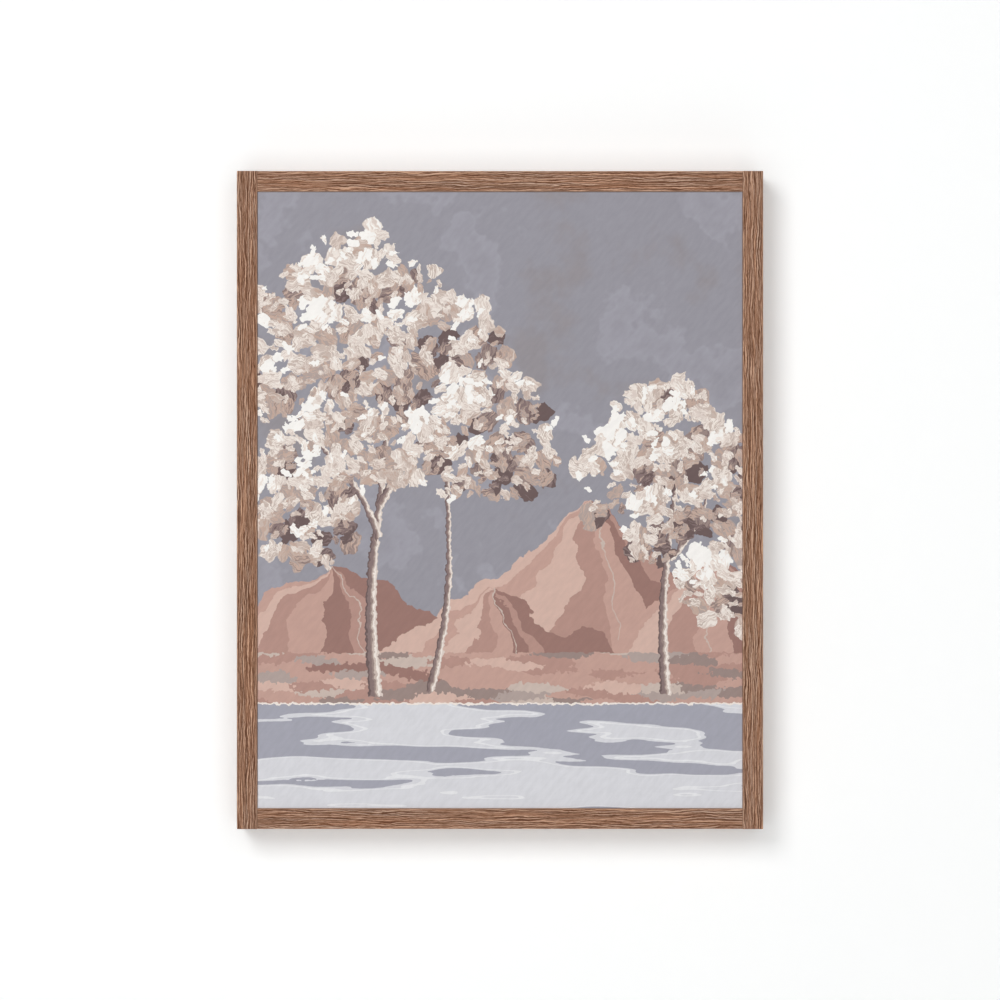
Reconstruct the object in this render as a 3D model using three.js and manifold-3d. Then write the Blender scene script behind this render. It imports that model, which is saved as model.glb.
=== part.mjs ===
import * as THREE from 'three';
import { mergeVertices } from 'three/addons/utils/BufferGeometryUtils.js';
import Module from 'manifold-3d';

// A framed canvas print: a cloth stretched over a pine stretcher, held in a butt-jointed wooden strip frame.
// Lengths are in millimetres. X is to the right, Y runs from the picture's face to the wall, and Z is up.
// Pieces are drawn with y = 0 at the strips' back and z = 0 at the picture's middle. The group at the end
// moves them all, so that the origin is the notch of the hanger that the wall nail sits in.

const wasm = await Module();
wasm.setup();

const INCH = 25.4;

// The strip frame: two stiles of full height, with two rails between them.
const FRAME_WIDTH = 16 * INCH;
const FRAME_HEIGHT = 20 * INCH;
const FRAME_DEPTH = 1.5 * INCH;
const STRIP_FACE = 0.625 * INCH;
const ARRIS_RADIUS = 0.8;
const ARRIS_STEPS = 3;
const BUTT_GAP = 0.1;

// The canvas: face, sides and a flange turned over the stretcher's back.
const CLOTH = 0.6;
const CLOTH_GAP = 0.3;
const FACE_RECESS = 2;
const FLANGE = 14;
const FOLD_REACH = 26;
const FOLD_SLANT = 4;

// The stretcher: four mitred bars, proud only at their outer edge.
const BAR_WIDTH = 19;
const BEAD_WIDTH = 4;
const BEAD_SLOPE = 2;
const BEAD_HEIGHT = 2.5;
const BAR_SLOPE = 2;
const MITRE_GAP = 0.2;

// Clearance round anything that is driven into wood, and under what is seated on a surface.
const HOLE_GAP = 0.3;
const SEAT_GAP = 0.1;

// How far a cutter runs past the face that it opens on.
const OVERRUN = 1;

// Corner brads, driven through the stiles into the ends of the rails.
const BRAD = { length: 38, radius: 0.9, headRadius: 1.4, headHeight: 1, tip: 2, set: 0.2, sides: 10 };
const BRAD_DEPTHS = { front: -28, back: -10 };

// V-nails, driven from the back across each mitre of the stretcher.
const V_NAIL = { wing: 8, sheet: 0.8, height: 8, inset: 7, sink: 0.5 };

// Staples along the flange.
const STAPLE = { crown: 12, wire: 0.6, width: 1.2, leg: 8, fromEdge: 7.5 };
const STAPLES_ON_STILE_SIDE = 6;
const STAPLES_ON_RAIL_SIDE = 5;
const STAPLE_PITCH_ON_STILE_SIDE = 80;
const STAPLE_PITCH_ON_RAIL_SIDE = 70;

// Flat plates that hold the stretcher in the frame, with a screw in each end.
const PLATE = { length: 30, width: 12, sheet: 1.2, hole: 1.9, holeSteps: 12, endSteps: 8, height: 160 };
const SCREW = { length: 12, radius: 1.4, headRadius: 3.2, headHeight: 1.8, tip: 2.5, sides: 16 };
const CROSS_SLOT = { length: 3.4, width: 0.8, depth: 1 };

// The sawtooth hanger: a strip of sheet steel, bridged clear of the wood between its two nailed ends.
const HANGER = { length: 45, height: 10, sheet: 0.8, rise: 1.5, bridge: 29, ramp: 2, hole: 1 };
const TOOTH = { pitch: 3, depth: 2, notches: 7 };
const HANGER_NAIL = { length: 10, radius: 0.6, headRadius: 1.8, headHeight: 0.7, tip: 1.5, inset: 4, sides: 12 };

// Rubber bumpers at the bottom corners, on the stiles' backs.
const BUMPER = { radius: 6.35, topRadius: 5.2, height: 3.2, shoulder: 0.9, inset: 15, sides: 28 };

const MERGE_TOLERANCE = 1e-4;
const RIGHT_ANGLE = Math.PI / 2;

// Derived sizes.
const STRIP_MIDDLE_X = FRAME_WIDTH / 2 - STRIP_FACE / 2;
const STRIP_MIDDLE_Z = FRAME_HEIGHT / 2 - STRIP_FACE / 2;
const CANVAS_X = FRAME_WIDTH / 2 - STRIP_FACE - CLOTH_GAP;
const CANVAS_Z = FRAME_HEIGHT / 2 - STRIP_FACE - CLOTH_GAP;
const CANVAS_FRONT = -FRAME_DEPTH + FACE_RECESS;
const CANVAS_BACK = -CLOTH_GAP;
const BAR_X = CANVAS_X - CLOTH - CLOTH_GAP;
const BAR_Z = CANVAS_Z - CLOTH - CLOTH_GAP;
const BAR_FRONT = CANVAS_FRONT + CLOTH + CLOTH_GAP;
const BAR_BACK = CANVAS_BACK - CLOTH - CLOTH_GAP;
const NOTCH_Y = SEAT_GAP + HANGER.rise + HANGER.sheet / 2;
const NOTCH_Z = STRIP_MIDDLE_Z - HANGER.height / 2 + TOOTH.depth;

// A side is drawn as the right-hand one, with x outwards, y to the wall and z along it, then turned about Y.
const SIDES = {
  right: { turns: 0, frame: FRAME_WIDTH / 2, bar: BAR_X, barEnd: BAR_Z },
  bottom: { turns: 1, frame: FRAME_HEIGHT / 2, bar: BAR_Z, barEnd: BAR_X },
  left: { turns: 2, frame: FRAME_WIDTH / 2, bar: BAR_X, barEnd: BAR_Z },
  top: { turns: 3, frame: FRAME_HEIGHT / 2, bar: BAR_Z, barEnd: BAR_X },
};

// Materials

function finish(color, roughness, metalness) {
  return new THREE.MeshStandardMaterial({ color, roughness, metalness });
}

const frameWood = finish(0x93705b, 0.6, 0);
const stretcherWood = finish(0xd9bd92, 0.75, 0);
const cloth = finish(0xb3a8a9, 0.9, 0);
const steel = finish(0xb4b6b8, 0.35, 1);
const rubber = finish(0x2a2a2b, 0.8, 0);

// Solids

function solidOf(geometry) {
  const bare = geometry.clone();
  bare.deleteAttribute('normal');
  bare.deleteAttribute('uv');
  const merged = mergeVertices(bare, MERGE_TOLERANCE);
  return new wasm.Manifold(new wasm.Mesh({
    numProp: 3,
    vertProperties: Float32Array.from(merged.attributes.position.array),
    triVerts: Uint32Array.from(merged.index.array),
  }));
}

function geometryOf(solid) {
  const mesh = solid.getMesh();
  const geometry = new THREE.BufferGeometry();
  geometry.setAttribute('position', new THREE.BufferAttribute(Float32Array.from(mesh.vertProperties), 3));
  geometry.setIndex(new THREE.BufferAttribute(Uint32Array.from(mesh.triVerts), 1));
  geometry.computeVertexNormals();
  return geometry;
}

function cut(geometry, cutters) {
  let solid = solidOf(geometry);
  for (const cutter of cutters) {
    solid = solid.subtract(solidOf(cutter));
  }
  return geometryOf(solid);
}

function join(geometries) {
  let solid = solidOf(geometries[0]);
  for (const geometry of geometries.slice(1)) {
    solid = solid.add(solidOf(geometry));
  }
  return geometryOf(solid);
}

function block([x0, x1], [y0, y1], [z0, z1]) {
  const geometry = new THREE.BoxGeometry(x1 - x0, y1 - y0, z1 - z0);
  return geometry.translate((x0 + x1) / 2, (y0 + y1) / 2, (z0 + z1) / 2);
}

function about(middle, half) {
  return [middle - half, middle + half];
}

function prism(points, depth) {
  const shape = new THREE.Shape(points.map(([x, y]) => new THREE.Vector2(x, y)));
  return new THREE.ExtrudeGeometry(shape, { depth, bevelEnabled: false });
}

// A body of revolution about Y, from a profile of [radius, y] pairs that starts and ends on the axis.
function turned(profile, sides) {
  return new THREE.LatheGeometry(profile.map(([radius, y]) => new THREE.Vector2(radius, y)), sides);
}

// A nail with its head's underside at y = 0 and its point towards -Y.
function nail({ length, radius, headRadius, headHeight, tip, sides }) {
  const profile = [
    [0, -length],
    [radius, tip - length],
    [radius, 0],
    [headRadius, 0],
    [headRadius, headHeight / 2],
    [headRadius / 2, headHeight],
    [0, headHeight],
  ];
  return turned(profile, sides);
}

// The straight hole that a nail or screw stands in, open at the head's end.
function shankHole({ length, radius }, sides) {
  const bore = radius + HOLE_GAP;
  const deepest = -length - HOLE_GAP;
  const hole = new THREE.CylinderGeometry(bore, bore, OVERRUN - deepest, sides);
  return hole.translate(0, (OVERRUN + deepest) / 2, 0);
}

function onSide(geometry, side) {
  return geometry.rotateY(side.turns * RIGHT_ANGLE);
}

// Strip frame

function stripSection(outer) {
  const inner = outer - STRIP_FACE;
  const front = -FRAME_DEPTH;
  const shape = new THREE.Shape();
  shape.moveTo(inner, 0);
  shape.lineTo(inner, front + ARRIS_RADIUS);
  shape.absarc(inner + ARRIS_RADIUS, front + ARRIS_RADIUS, ARRIS_RADIUS, Math.PI, 1.5 * Math.PI, false);
  shape.absarc(outer - ARRIS_RADIUS, front + ARRIS_RADIUS, ARRIS_RADIUS, 1.5 * Math.PI, 2 * Math.PI, false);
  shape.lineTo(outer, 0);
  return shape;
}

function strip(side, halfLength) {
  const geometry = new THREE.ExtrudeGeometry(stripSection(side.frame), {
    depth: 2 * halfLength,
    bevelEnabled: false,
    curveSegments: ARRIS_STEPS,
  });
  return onSide(geometry.translate(0, 0, -halfLength), side);
}

// Places a brad, or the hole round one, with its head on the outer face of a stile.
function atCorner(geometry, across, up, depth) {
  geometry.rotateZ(-across * RIGHT_ANGLE);
  return geometry.translate(across * (FRAME_WIDTH / 2 - BRAD.headHeight - BRAD.set), depth, up * STRIP_MIDDLE_Z);
}

function bradHole(across, up, depth) {
  const radius = BRAD.headRadius + HOLE_GAP;
  const mouth = new THREE.CylinderGeometry(radius, radius, 2 * BRAD.headHeight, BRAD.sides);
  mouth.translate(0, BRAD.headHeight - HOLE_GAP, 0);
  return [
    atCorner(shankHole(BRAD, BRAD.sides), across, up, depth),
    atCorner(mouth, across, up, depth),
  ];
}

function bradHoles(acrossList, upList) {
  const holes = [];
  for (const across of acrossList) {
    for (const up of upList) {
      for (const depth of Object.values(BRAD_DEPTHS)) {
        holes.push(...bradHole(across, up, depth));
      }
    }
  }
  return holes;
}

// Stretcher

function barSection(outer) {
  const bead = outer - BEAD_WIDTH;
  const inner = outer - BAR_WIDTH;
  return [
    [outer, BAR_BACK],
    [inner, BAR_BACK],
    [inner, BAR_FRONT + BEAD_HEIGHT + BAR_SLOPE],
    [bead - BEAD_SLOPE, BAR_FRONT + BEAD_HEIGHT],
    [bead, BAR_FRONT],
    [outer, BAR_FRONT],
  ];
}

// A straight bar whose ends are drawn back to a mitre: the further in from the outer edge, the shorter.
function mitredBar(side) {
  const geometry = prism(barSection(side.bar), 1);
  const position = geometry.attributes.position;
  for (let i = 0; i < position.count; i += 1) {
    const halfLength = side.barEnd - (side.bar - position.getX(i)) - MITRE_GAP;
    position.setZ(i, position.getZ(i) > 0 ? halfLength : -halfLength);
  }
  return geometry;
}

// V-nails

function vNail(grow, height) {
  const near = -V_NAIL.sheet / 2 - grow;
  const thick = V_NAIL.sheet / 2 + grow;
  const far = V_NAIL.wing + grow;
  const outline = [[near, near], [far, near], [far, thick], [thick, thick], [thick, far], [near, far]];
  return prism(outline, height).rotateX(RIGHT_ANGLE);
}

// Places a v-nail shape in a corner of the stretcher, with its two wings pointing into the picture.
function atMitre(geometry, across, up) {
  const turns = { '-1,-1': 0, '1,-1': 1, '1,1': 2, '-1,1': 3 }[`${across},${up}`];
  geometry.rotateY(-turns * RIGHT_ANGLE);
  return geometry.translate(across * (BAR_X - V_NAIL.inset), 0, up * (BAR_Z - V_NAIL.inset));
}

function vNailPiece(across, up) {
  return atMitre(vNail(0, V_NAIL.height), across, up).translate(0, BAR_BACK - V_NAIL.sink, 0);
}

function vNailHole(across, up) {
  const height = V_NAIL.height + V_NAIL.sink + HOLE_GAP + OVERRUN;
  return atMitre(vNail(HOLE_GAP, height), across, up).translate(0, BAR_BACK + OVERRUN, 0);
}

// Staples

function stapleRow(side) {
  const onStileSide = side.bar === BAR_X;
  const count = onStileSide ? STAPLES_ON_STILE_SIDE : STAPLES_ON_RAIL_SIDE;
  const pitch = onStileSide ? STAPLE_PITCH_ON_STILE_SIDE : STAPLE_PITCH_ON_RAIL_SIDE;
  return Array.from({ length: count }, (_, i) => (i - (count - 1) / 2) * pitch);
}

function staple(side, along) {
  const half = STAPLE.crown / 2;
  const inside = half - STAPLE.wire;
  const outline = [
    [-half, 0], [-half, -STAPLE.leg], [-inside, -STAPLE.leg], [-inside, -STAPLE.wire],
    [inside, -STAPLE.wire], [inside, -STAPLE.leg], [half, -STAPLE.leg], [half, 0],
  ];
  const geometry = prism(outline, STAPLE.width).translate(0, 0, -STAPLE.width / 2);
  geometry.rotateY(RIGHT_ANGLE);
  const back = CANVAS_BACK + SEAT_GAP + STAPLE.wire;
  return onSide(geometry.translate(side.bar - STAPLE.fromEdge, back, along), side);
}

function stapleHoles(side) {
  const holes = [];
  const deepest = CANVAS_BACK + SEAT_GAP + STAPLE.wire - STAPLE.leg - HOLE_GAP;
  for (const along of stapleRow(side)) {
    for (const end of [-1, 1]) {
      const leg = along + end * (STAPLE.crown - STAPLE.wire) / 2;
      const hole = block(
        about(side.bar - STAPLE.fromEdge, STAPLE.width / 2 + HOLE_GAP),
        [deepest, OVERRUN],
        about(leg, STAPLE.wire / 2 + HOLE_GAP),
      );
      holes.push(onSide(hole, side));
    }
  }
  return holes;
}

// Plates and their screws, on the two long sides only

const PLATE_SCREW_X = {
  outer: STRIP_MIDDLE_X,
  inner: BAR_X - BAR_WIDTH / 2,
};
const PLATE_MIDDLE_X = (PLATE_SCREW_X.outer + PLATE_SCREW_X.inner) / 2;
const PLATE_BACK = SEAT_GAP + PLATE.sheet;

function plate(across, up) {
  const radius = PLATE.width / 2;
  const straight = PLATE.length / 2 - radius;
  const shape = new THREE.Shape();
  shape.absarc(straight, 0, radius, -RIGHT_ANGLE, RIGHT_ANGLE, false);
  shape.absarc(-straight, 0, radius, RIGHT_ANGLE, 3 * RIGHT_ANGLE, false);
  shape.closePath();
  const flat = new THREE.ExtrudeGeometry(shape, {
    depth: PLATE.sheet,
    bevelEnabled: false,
    curveSegments: PLATE.endSteps,
  });
  flat.rotateX(RIGHT_ANGLE);
  flat.translate(across * PLATE_MIDDLE_X, PLATE_BACK, up * PLATE.height);
  const holes = Object.values(PLATE_SCREW_X).map((x) => {
    const hole = new THREE.CylinderGeometry(PLATE.hole, PLATE.hole, 2 * PLATE.sheet, PLATE.holeSteps);
    return hole.translate(across * x, PLATE_BACK - PLATE.sheet / 2, up * PLATE.height);
  });
  return cut(flat, holes);
}

function plateScrew(across, up, x) {
  const top = SCREW.headHeight;
  const half = CROSS_SLOT.length / 2;
  const thin = CROSS_SLOT.width / 2;
  const slots = [
    block([-half, half], [top - CROSS_SLOT.depth, top + OVERRUN], [-thin, thin]),
    block([-thin, thin], [top - CROSS_SLOT.depth, top + OVERRUN], [-half, half]),
  ];
  const geometry = cut(nail(SCREW), slots);
  return geometry.translate(across * x, PLATE_BACK + SEAT_GAP, up * PLATE.height);
}

function plateScrewHoles(across, xList) {
  const holes = [];
  for (const up of [-1, 1]) {
    for (const x of xList) {
      const hole = shankHole(SCREW, SCREW.sides);
      holes.push(hole.translate(across * x, PLATE_BACK + SEAT_GAP, up * PLATE.height));
    }
  }
  return holes;
}

// Sawtooth hanger

function hangerPlate() {
  const half = HANGER.length / 2;
  const bridge = HANGER.bridge / 2;
  const foot = bridge + HANGER.ramp;
  const low = SEAT_GAP;
  const high = SEAT_GAP + HANGER.rise;
  const front = [[-half, low], [-foot, low], [-bridge, high], [bridge, high], [foot, low], [half, low]];
  const back = front.map(([x, y]) => [x, y + HANGER.sheet]).reverse();
  const sheet = prism([...front, ...back], HANGER.height);
  const bottom = STRIP_MIDDLE_Z - HANGER.height / 2;
  sheet.translate(0, 0, bottom);
  const cutters = [];
  const top = high + HANGER.sheet + OVERRUN;
  const mouth = TOOTH.pitch / 2 * (TOOTH.depth + OVERRUN) / TOOTH.depth;
  for (let i = 0; i < TOOTH.notches; i += 1) {
    const x = (i - (TOOTH.notches - 1) / 2) * TOOTH.pitch;
    const notch = prism([[-mouth, -OVERRUN], [mouth, -OVERRUN], [0, TOOTH.depth]], top);
    cutters.push(notch.rotateX(RIGHT_ANGLE).translate(x, top, bottom));
  }
  for (const across of [-1, 1]) {
    const hole = new THREE.CylinderGeometry(HANGER.hole, HANGER.hole, 2 * top, HANGER_NAIL.sides);
    cutters.push(hole.translate(across * (half - HANGER_NAIL.inset), 0, STRIP_MIDDLE_Z));
  }
  return cut(sheet, cutters);
}

function hangerNailPlace(geometry, across) {
  const seat = SEAT_GAP + HANGER.sheet + SEAT_GAP;
  return geometry.translate(across * (HANGER.length / 2 - HANGER_NAIL.inset), seat, STRIP_MIDDLE_Z);
}

// Bumpers

function bumper(across) {
  const { radius, topRadius, height, shoulder } = BUMPER;
  const profile = [
    [0, 0],
    [radius, 0],
    [radius, height - 2 * shoulder],
    [(radius + topRadius) / 2, height - shoulder / 2],
    [topRadius, height],
    [0, height],
  ];
  const up = BUMPER.inset - FRAME_HEIGHT / 2;
  return turned(profile, BUMPER.sides).translate(across * STRIP_MIDDLE_X, SEAT_GAP, up);
}

// Canvas

// The doubled cloth where the flange is folded at a corner, drawn for the corner at the right and the top.
function cornerFold(across, up) {
  const outline = [[0, 0], [-FOLD_REACH, 0], [FOLD_SLANT - FOLD_REACH, -FLANGE], [-FLANGE, -FLANGE]];
  const mirrored = outline.map(([x, z]) => [across * x, up * z]);
  const fold = prism(mirrored, 2 * CLOTH).rotateX(RIGHT_ANGLE);
  return fold.translate(across * CANVAS_X, CANVAS_BACK + CLOTH, up * CANVAS_Z);
}

function canvasCloth() {
  const shell = block([-CANVAS_X, CANVAS_X], [CANVAS_FRONT, CANVAS_BACK], [-CANVAS_Z, CANVAS_Z]);
  const inX = CANVAS_X - CLOTH;
  const inZ = CANVAS_Z - CLOTH;
  const inside = block([-inX, inX], [CANVAS_FRONT + CLOTH, CANVAS_BACK - CLOTH], [-inZ, inZ]);
  const openX = CANVAS_X - FLANGE;
  const openZ = CANVAS_Z - FLANGE;
  const window = block([-openX, openX], [CANVAS_BACK - 2 * CLOTH, OVERRUN], [-openZ, openZ]);
  const tray = cut(shell, [inside, window]);
  const folds = [-1, 1].flatMap((across) => [-1, 1].map((up) => cornerFold(across, up)));
  const holes = Object.values(SIDES).flatMap((side) => stapleHoles(side));
  for (const across of [-1, 1]) {
    holes.push(...plateScrewHoles(across, [PLATE_SCREW_X.inner]));
  }
  return cut(join([tray, ...folds]), holes);
}

// Scene graph

const picture = new THREE.Group();

function add(name, geometry, material) {
  const mesh = new THREE.Mesh(geometry, material);
  mesh.name = name;
  picture.add(mesh);
}

const ACROSS = { left: -1, right: 1 };
const UP = { bottom: -1, top: 1 };

const RAIL_HALF_LENGTH = FRAME_WIDTH / 2 - STRIP_FACE - BUTT_GAP;

for (const [name, across] of Object.entries(ACROSS)) {
  const holes = [
    ...bradHoles([across], [-1, 1]),
    ...plateScrewHoles(across, [PLATE_SCREW_X.outer]),
  ];
  add(`stile_${name}`, cut(strip(SIDES[name], FRAME_HEIGHT / 2), holes), frameWood);
}

for (const [name, up] of Object.entries(UP)) {
  const holes = bradHoles([-1, 1], [up]);
  if (name === 'top') {
    for (const across of [-1, 1]) {
      holes.push(hangerNailPlace(shankHole(HANGER_NAIL, HANGER_NAIL.sides), across));
    }
  }
  add(`rail_${name}`, cut(strip(SIDES[name], RAIL_HALF_LENGTH), holes), frameWood);
}

for (const [name, side] of Object.entries(SIDES)) {
  const holes = stapleHoles(side);
  for (const across of [-1, 1]) {
    for (const up of [-1, 1]) {
      holes.push(vNailHole(across, up));
    }
  }
  if (name in ACROSS) {
    holes.push(...plateScrewHoles(ACROSS[name], [PLATE_SCREW_X.inner]));
  }
  add(`stretcher_${name}`, cut(onSide(mitredBar(side), side), holes), stretcherWood);
}

add('canvas', canvasCloth(), cloth);

for (const [level, up] of Object.entries(UP)) {
  for (const [name, across] of Object.entries(ACROSS)) {
    for (const [layer, depth] of Object.entries(BRAD_DEPTHS)) {
      add(`brad_${level}_${name}_${layer}`, atCorner(nail(BRAD), across, up, depth), steel);
    }
    add(`v_nail_${level}_${name}`, vNailPiece(across, up), steel);
    add(`plate_${level}_${name}`, plate(across, up), steel);
    for (const [end, x] of Object.entries(PLATE_SCREW_X)) {
      add(`screw_${level}_${name}_${end}`, plateScrew(across, up, x), steel);
    }
  }
}

for (const [name, side] of Object.entries(SIDES)) {
  stapleRow(side).forEach((along, i) => {
    add(`staple_${name}_${i + 1}`, staple(side, along), steel);
  });
}

add('hanger', hangerPlate(), steel);
for (const [name, across] of Object.entries(ACROSS)) {
  add(`hanger_nail_${name}`, hangerNailPlace(nail(HANGER_NAIL), across), steel);
  add(`bumper_${name}`, bumper(across), rubber);
}

picture.position.set(0, -NOTCH_Y, -NOTCH_Z);

export default picture;
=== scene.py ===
"""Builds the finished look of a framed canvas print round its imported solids.

The picture hangs on a wall: +X is to the right, +Y runs from its face to the wall, and +Z is up. Lengths are
in metres. A value written as a number times MM is a length in millimetres.
"""

import math
import random
from types import SimpleNamespace

import bmesh
import bpy
from bpy.props import FloatProperty, FloatVectorProperty, IntProperty, PointerProperty
from mathutils import Matrix, Vector, noise


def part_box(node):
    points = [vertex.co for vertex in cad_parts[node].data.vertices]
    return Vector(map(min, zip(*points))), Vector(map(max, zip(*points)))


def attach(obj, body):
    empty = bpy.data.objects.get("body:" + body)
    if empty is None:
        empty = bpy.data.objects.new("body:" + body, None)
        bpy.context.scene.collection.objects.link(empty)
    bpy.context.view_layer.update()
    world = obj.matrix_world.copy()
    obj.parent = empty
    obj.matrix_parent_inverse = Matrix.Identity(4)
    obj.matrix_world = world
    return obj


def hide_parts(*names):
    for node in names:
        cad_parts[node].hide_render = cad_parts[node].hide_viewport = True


bl_info = {
    "name": "Framed Canvas Print",
    "version": (1, 0, 0),
    "blender": (4, 5, 0),
    "location": "View3D > Sidebar > Picture",
    "description": "Finishes a canvas print in a wooden strip frame",
    "category": "Object",
}

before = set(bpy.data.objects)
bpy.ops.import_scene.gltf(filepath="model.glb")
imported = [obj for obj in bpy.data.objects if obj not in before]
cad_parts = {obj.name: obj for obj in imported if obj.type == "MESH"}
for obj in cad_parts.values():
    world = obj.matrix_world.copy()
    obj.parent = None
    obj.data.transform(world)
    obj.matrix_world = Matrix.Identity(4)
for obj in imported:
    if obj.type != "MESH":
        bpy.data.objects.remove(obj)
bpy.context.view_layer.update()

MM = 0.001
QUARTER_TURN = math.pi / 2
SIDES = ("left", "right")
BARS = ("left", "right", "top", "bottom")
CORNERS = [f"{level}_{side}" for level in ("bottom", "top") for side in SIDES]
BRADS = [f"brad_{corner}_{layer}" for corner in CORNERS for layer in ("front", "back")]
SCREWS = [f"screw_{corner}_{end}" for corner in CORNERS for end in ("outer", "inner")]
HANGER_NAILS = [f"hanger_nail_{side}" for side in SIDES]

# Places that every piece is set out from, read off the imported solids.
STILE_LOW, STILE_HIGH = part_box("stile_right")
CANVAS_LOW, CANVAS_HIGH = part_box("canvas")
MIDDLE = (CANVAS_LOW + CANVAS_HIGH) / 2
STRIP_FACE = STILE_HIGH.x - STILE_LOW.x
FRAME_HALF_WIDTH = STILE_HIGH.x
FRAME_HALF_HEIGHT = (STILE_HIGH.z - STILE_LOW.z) / 2
RAIL_HALF_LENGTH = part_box("rail_top")[1].x
FRAME_FRONT = STILE_LOW.y
FRAME_BACK = STILE_HIGH.y
FACE_HALF_WIDTH = (CANVAS_HIGH.x - CANVAS_LOW.x) / 2
FACE_HALF_HEIGHT = (CANVAS_HIGH.z - CANVAS_LOW.z) / 2
FACE_FRONT = CANVAS_LOW.y
WALL_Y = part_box("bumper_left")[1].y


def linear(red, green, blue):
    """Turns a display colour, 0 to 255, into the linear colour that shaders and colour properties hold."""
    toe, slope, lift, power = 0.04045, 12.92, 0.055, 2.4
    shares = [channel / 255 for channel in (red, green, blue)]
    return tuple(s / slope if s <= toe else ((s + lift) / (1 + lift)) ** power for s in shares)


def length(name, description, millimetres):
    """A length property, given in millimetres."""
    return FloatProperty(name=name, description=description, default=millimetres * MM, min=0.0, unit="LENGTH")


def colour(name, description, red, green, blue):
    """A colour property, given as a display colour from 0 to 255."""
    tone = linear(red, green, blue)
    settings = {"default": tone, "min": 0.0, "max": 1.0, "size": 3, "subtype": "COLOR"}
    return FloatVectorProperty(name=name, description=description, **settings)


class PictureSizes(bpy.types.PropertyGroup):
    """Sizes that the finished pieces are made to."""

    arris_radius: length("Arris radius", "Rounding of the strips' front edges", 0.8)
    back_arris_radius: length("Back arris radius", "Rounding of the strips' back edges", 0.4)
    arris_wear: length("Arris wear", "Deepest that the front edges are worn back", 0.3)
    strip_waver: length("Strip waver", "Deepest hollow in a strip's planed face", 0.12)
    cloth: length("Cloth", "Thickness of the canvas", 0.6)
    flange: length("Flange", "Width of canvas turned over the stretcher's back", 14.0)
    fold_reach: length("Fold reach", "Length of the folded corner along the flange", 26.0)
    face_rounding: length("Face rounding", "Radius of the canvas where it turns over the front edge", 0.5)
    cloth_swell: length("Cloth swell", "How far the cloth's sides stand out past the packed solid", 0.28)
    slack: length("Slack", "Deepest hollow in the stretched canvas", 0.5)
    weave: length("Weave", "Distance from thread to thread of the canvas", 0.75)
    staple_wire: length("Staple wire", "Thickness of the staples' flat wire", 0.6)
    staple_width: length("Staple width", "Width of the staples' flat wire", 1.2)
    hardware_edge: length("Hardware edge", "Rounding of the edges of stamped steel", 0.15)
    bar_edge: length("Bar edge", "Rounding of the stretcher bars' edges", 0.6)
    seed: IntProperty(name="Seed", description="Picks the wear and small pieces' tilt", default=7, min=0)


class PictureColours(bpy.types.PropertyGroup):
    """Colours of the frame, the canvas, the fittings and the print."""

    wood: colour("Wood", "Middle tone of the stained frame", 152, 110, 84)
    wood_dark: colour("Dark grain", "Dark streaks of the frame's grain", 94, 57, 36)
    wood_light: colour("Light grain", "Light streaks of the frame's grain", 207, 167, 141)
    pine: colour("Pine", "Spring growth of the stretcher's pine", 226, 199, 156)
    pine_dark: colour("Pine grain", "Summer growth of the stretcher's pine", 190, 143, 92)
    canvas_back: colour("Canvas back", "Unprinted cotton canvas", 228, 222, 208)
    zinc: colour("Zinc", "Plated steel of plates, screws and staples", 188, 190, 192)
    rubber: colour("Rubber", "Bumpers", 34, 34, 35)
    wall: colour("Wall", "Wall behind the picture", 249, 250, 250)
    floor: colour("Floor", "Floor in front of the wall", 232, 231, 229)
    sky: colour("Sky", "Mauve-grey ground of the print", 152, 150, 159)
    sky_warm: colour("Warm sky", "Warmer patches of the print's ground", 149, 144, 149)
    sky_light: colour("Light sky", "Lighter patches of the print's ground", 160, 158, 168)
    white: colour("White paint", "Lightest blossom", 252, 249, 245)
    cream: colour("Cream paint", "Cream blossom", 241, 231, 223)
    beige: colour("Beige paint", "Beige blossom", 223, 208, 199)
    sand: colour("Sand paint", "Blossom in half light", 203, 185, 175)
    peach: colour("Peach paint", "Warm blossom in half light", 197, 170, 156)
    taupe: colour("Taupe paint", "Blossom in shade", 177, 160, 154)
    umber: colour("Umber paint", "Brown in the shade of the blossom", 154, 134, 128)
    mauve: colour("Mauve paint", "Mauve-brown in deep shade", 134, 113, 111)
    plum: colour("Plum paint", "Darkest paint", 106, 86, 85)
    clay_light: colour("Light clay paint", "Hill faces in the light", 213, 180, 167)
    clay: colour("Clay paint", "Hill faces in half light", 197, 159, 147)
    clay_mid: colour("Middle clay paint", "Hill faces turned from the light", 182, 143, 132)
    clay_dark: colour("Dark clay paint", "Hill faces in shade", 154, 116, 107)
    water: colour("Water", "Pale lilac water", 218, 218, 223)
    water_light: colour("Light water", "Glints on the water", 232, 232, 235)
    water_shade: colour("Water shade", "Grey-blue reflections", 165, 165, 177)


# Node trees


def reckons(operation, swapped=False):
    """An operator of a Field."""

    def reckon(field, other):
        first, second = (other, field) if swapped else (field, other)
        return field.nodes.reckon(operation, first, second)

    return reckon


class Field:
    """A node's output to reckon with: each operator adds the math node that it needs."""

    __add__ = reckons("ADD")
    __sub__ = reckons("SUBTRACT")
    __rsub__ = reckons("SUBTRACT", swapped=True)
    __mul__ = reckons("MULTIPLY")
    __truediv__ = reckons("DIVIDE")
    __pow__ = reckons("POWER")
    __lt__ = reckons("LESS_THAN")
    __gt__ = reckons("GREATER_THAN")

    def __init__(self, nodes, socket):
        self.nodes = nodes
        self.socket = socket

    def __abs__(self):
        return self.nodes.math("ABSOLUTE", self)


def is_vector(value):
    return value.socket.type != "VALUE" if isinstance(value, Field) else isinstance(value, tuple)


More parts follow.
